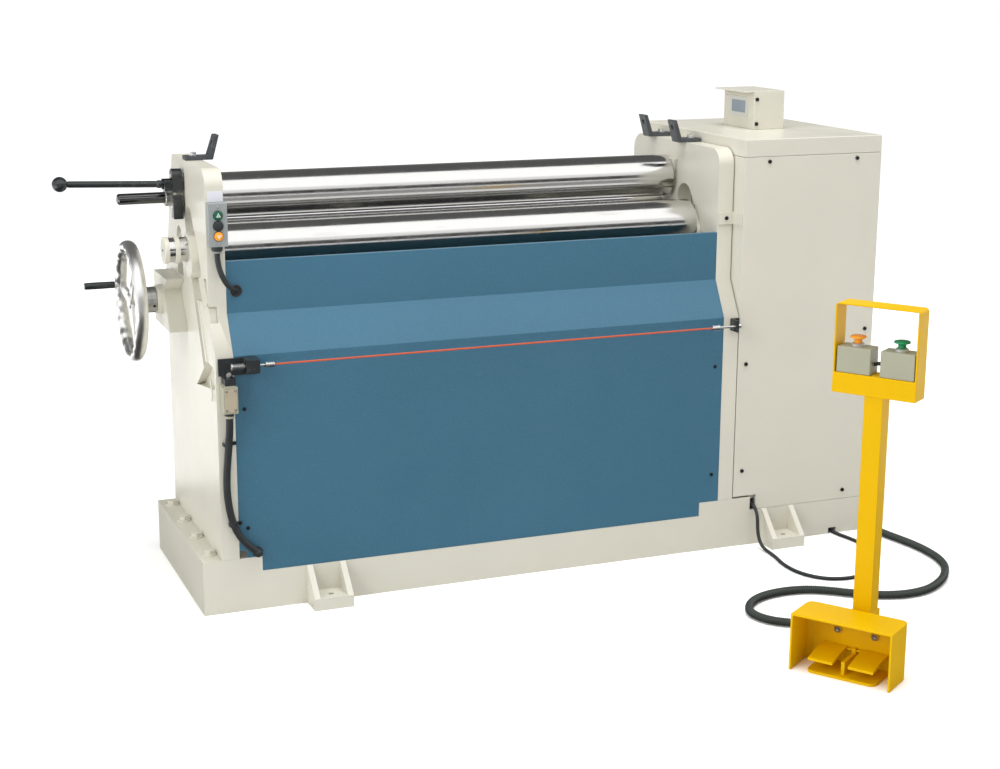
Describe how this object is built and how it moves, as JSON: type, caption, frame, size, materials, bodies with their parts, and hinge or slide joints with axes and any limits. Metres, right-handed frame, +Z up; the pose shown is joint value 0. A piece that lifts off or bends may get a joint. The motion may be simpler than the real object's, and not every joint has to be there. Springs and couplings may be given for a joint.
{
  "type": "plate rolling machine",
  "caption": "Initial-pinch plate rolling machine with long steel rolls, drop end lock, handwheel, drive cabinet, trip wire and a separate pedal and button station.",
  "frame": {"origin": "middle of the plinth's underside, midway between the side frames, on the floor", "axes": "+X along the rolls towards the drive cabinet, +Y away from the operator, +Z up"},
  "size_m": [2.1194, 1.5616, 1.1703],
  "materials": {
    "cream_paint": "semi-gloss cream enamel",
    "blue_paint": "hammered blue enamel",
    "roll_steel": "ground and polished steel",
    "chrome": "bright chrome plating",
    "black_paint": "satin black",
    "dark_steel": "oiled dark steel",
    "spring_steel": "bright spring wire",
    "grey_paint": "grey enamel on die-cast boxes",
    "yellow_paint": "gloss safety yellow",
    "green_plastic": "moulded gloss",
    "orange_plastic": "moulded gloss",
    "black_plastic": "moulded matt",
    "wire_sleeve": "orange-red sleeve on a steel wire",
    "black_rubber": "matt black sheath"
  },
  "bodies": {
    "machine": {"base_plinth": "cream_paint", "left_side_frame": "cream_paint", "right_side_frame": "cream_paint", "front_cover": "blue_paint", "rear_cover": "cream_paint", "tie_bar": "dark_steel", "drive_cabinet": "cream_paint", "cabinet_lid": "cream_paint", "display_box": "cream_paint", "tie_plate": "cream_paint", "top_bearing_left": "cream_paint", "top_bearing_right": "cream_paint", "worm_housing": "cream_paint", "bearing_keeper": "black_paint", "button_box": "grey_paint", "button_box_conduit": "black_rubber", "trip_bracket": "black_paint", "trip_spring": "spring_steel", "wire_anchor": "black_paint", "limit_switch": "grey_paint", "switch_conduit": "black_rubber", "work_stop_left": "dark_steel", "work_stop_front_right": "dark_steel", "work_stop_rear_right": "dark_steel", "drive_chain": "dark_steel", "gearmotor": "grey_paint", "pedal_hood": "yellow_paint", "station_post": "yellow_paint", "pedal_base": "yellow_paint", "button_unit_left": "grey_paint", "button_unit_right": "grey_paint", "hose_elbow": "black_paint", "ribbed_hose": "black_rubber", "thin_cable": "black_rubber"},
    "top_roll": {"top_roll": "roll_steel", "top_roll_sprocket": "dark_steel"},
    "motor_sprocket": {"motor_sprocket": "dark_steel"},
    "lower_carriage": {"lower_bearing_left": "dark_steel", "lower_bearing_right": "dark_steel", "elevating_screw_left": "roll_steel", "elevating_screw_right": "roll_steel"},
    "lower_roll": {"lower_roll": "roll_steel"},
    "bending_carriage": {"bending_block_left": "cream_paint", "bending_block_right": "cream_paint", "bending_link": "cream_paint"},
    "bending_roll": {"bending_roll": "roll_steel"},
    "handwheel": {"handwheel": "chrome"},
    "handwheel_grip": {"handwheel_grip": "black_plastic"},
    "lock_latch": {"lock_latch": "black_paint"},
    "lock_lever": {"lock_lever": "black_paint"},
    "up_button": {"up_button": "green_plastic"},
    "stop_button": {"stop_button": "black_plastic"},
    "down_button": {"down_button": "orange_plastic"},
    "switch_plunger": {"switch_plunger": "dark_steel"},
    "trip_wire": {"trip_wire": "wire_sleeve"},
    "palm_button_left": {"palm_button_left": "orange_plastic"},
    "palm_button_right": {"palm_button_right": "green_plastic"},
    "pedal_left": {"pedal_left": "yellow_paint"},
    "pedal_right": {"pedal_right": "yellow_paint"}
  },
  "joints": [
    {"name": "top_roll_spin", "type": "hinge", "parent": "machine", "child": "top_roll", "pos_m": [0, 0.063, 0.947], "axis": [1, 0, 0], "continuous": true},
    {"name": "motor_sprocket_spin", "type": "hinge", "parent": "machine", "child": "motor_sprocket", "pos_m": [0.724, 0.063, 0.251], "axis": [1, 0, 0], "continuous": true},
    {"name": "handwheel_turn", "type": "hinge", "parent": "machine", "child": "handwheel", "pos_m": [-0.7956, 0.12, 0.69], "axis": [1, 0, 0], "range_deg": [-1440, 450]},
    {"name": "lower_carriage_lift", "type": "slide", "parent": "machine", "child": "lower_carriage", "axis": [0, 0, 1], "range_m": [-0.0161, 0.0051]},
    {"name": "lower_roll_spin", "type": "hinge", "parent": "lower_carriage", "child": "lower_roll", "pos_m": [0, 0.085, 0.831], "axis": [1, 0, 0], "continuous": true},
    {"name": "bending_roll_lift", "type": "slide", "parent": "machine", "child": "bending_carriage", "axis": [0, 0.5833, 0.8123], "range_m": [-0.012, 0.05]},
    {"name": "bending_roll_spin", "type": "hinge", "parent": "bending_carriage", "child": "bending_roll", "pos_m": [0, -0.068, 0.841], "axis": [1, 0, 0], "continuous": true},
    {"name": "handwheel_grip_spin", "type": "hinge", "parent": "handwheel", "child": "handwheel_grip", "pos_m": [-0.85, 0.2527, 0.70865], "axis": [1, 0, 0], "continuous": true},
    {"name": "latch_swing", "type": "hinge", "parent": "machine", "child": "lock_latch", "pos_m": [-0.696, 0.016, 1.003], "axis": [1, 0, 0], "range_deg": [-60, 0]},
    {"name": "lever_lift", "type": "hinge", "parent": "lock_latch", "child": "lock_lever", "pos_m": [-0.717, 0.022, 0.984], "axis": [0, 1, 0], "range_deg": [0, 70]},
    {"name": "up_button_press", "type": "slide", "parent": "machine", "child": "up_button", "axis": [0, 1, 0], "range_m": [0, 0.004], "stiffness_N_per_m": 600, "springref_m": -0.002},
    {"name": "stop_button_press", "type": "slide", "parent": "machine", "child": "stop_button", "axis": [0, 1, 0], "range_m": [0, 0.004], "stiffness_N_per_m": 600, "springref_m": -0.002},
    {"name": "down_button_press", "type": "slide", "parent": "machine", "child": "down_button", "axis": [0, 1, 0], "range_m": [0, 0.004], "stiffness_N_per_m": 600, "springref_m": -0.002},
    {"name": "switch_plunger_press", "type": "slide", "parent": "machine", "child": "switch_plunger", "axis": [0, 0, -1], "range_m": [0, 0.003], "stiffness_N_per_m": 600, "springref_m": -0.002},
    {"name": "trip_wire_pull", "type": "slide", "parent": "machine", "child": "trip_wire", "axis": [1, 0, 0], "range_m": [0, 0.005], "stiffness_N_per_m": 1500, "springref_m": -0.004, "deforming": ["trip_spring"]},
    {"name": "palm_button_left_press", "type": "slide", "parent": "machine", "child": "palm_button_left", "axis": [0, 0, -1], "range_m": [0, 0.005], "stiffness_N_per_m": 800, "springref_m": -0.003},
    {"name": "palm_button_right_press", "type": "slide", "parent": "machine", "child": "palm_button_right", "axis": [0, 0, -1], "range_m": [0, 0.005], "stiffness_N_per_m": 800, "springref_m": -0.003},
    {"name": "pedal_left_press", "type": "hinge", "parent": "machine", "child": "pedal_left", "pos_m": [0.52932, -1.08648, 0.041], "axis": [0.5664, -0.8241, 0], "range_deg": [0, 10], "stiffness_Nm_per_rad": 2, "springref_deg": -8.59},
    {"name": "pedal_right_press", "type": "hinge", "parent": "machine", "child": "pedal_right", "pos_m": [0.52932, -1.08648, 0.041], "axis": [0.5664, -0.8241, 0], "range_deg": [0, 10], "stiffness_Nm_per_rad": 2, "springref_deg": -8.59}
  ],
  "couplings": [
    {"joint": "motor_sprocket_spin", "follows": "top_roll_spin", "ratio": 1.9737},
    {"joint": "lower_roll_spin", "follows": "top_roll_spin", "ratio": -1},
    {"joint": "lower_carriage_lift", "follows": "handwheel_turn", "m_per_rad": 0.00063662}
  ]
}
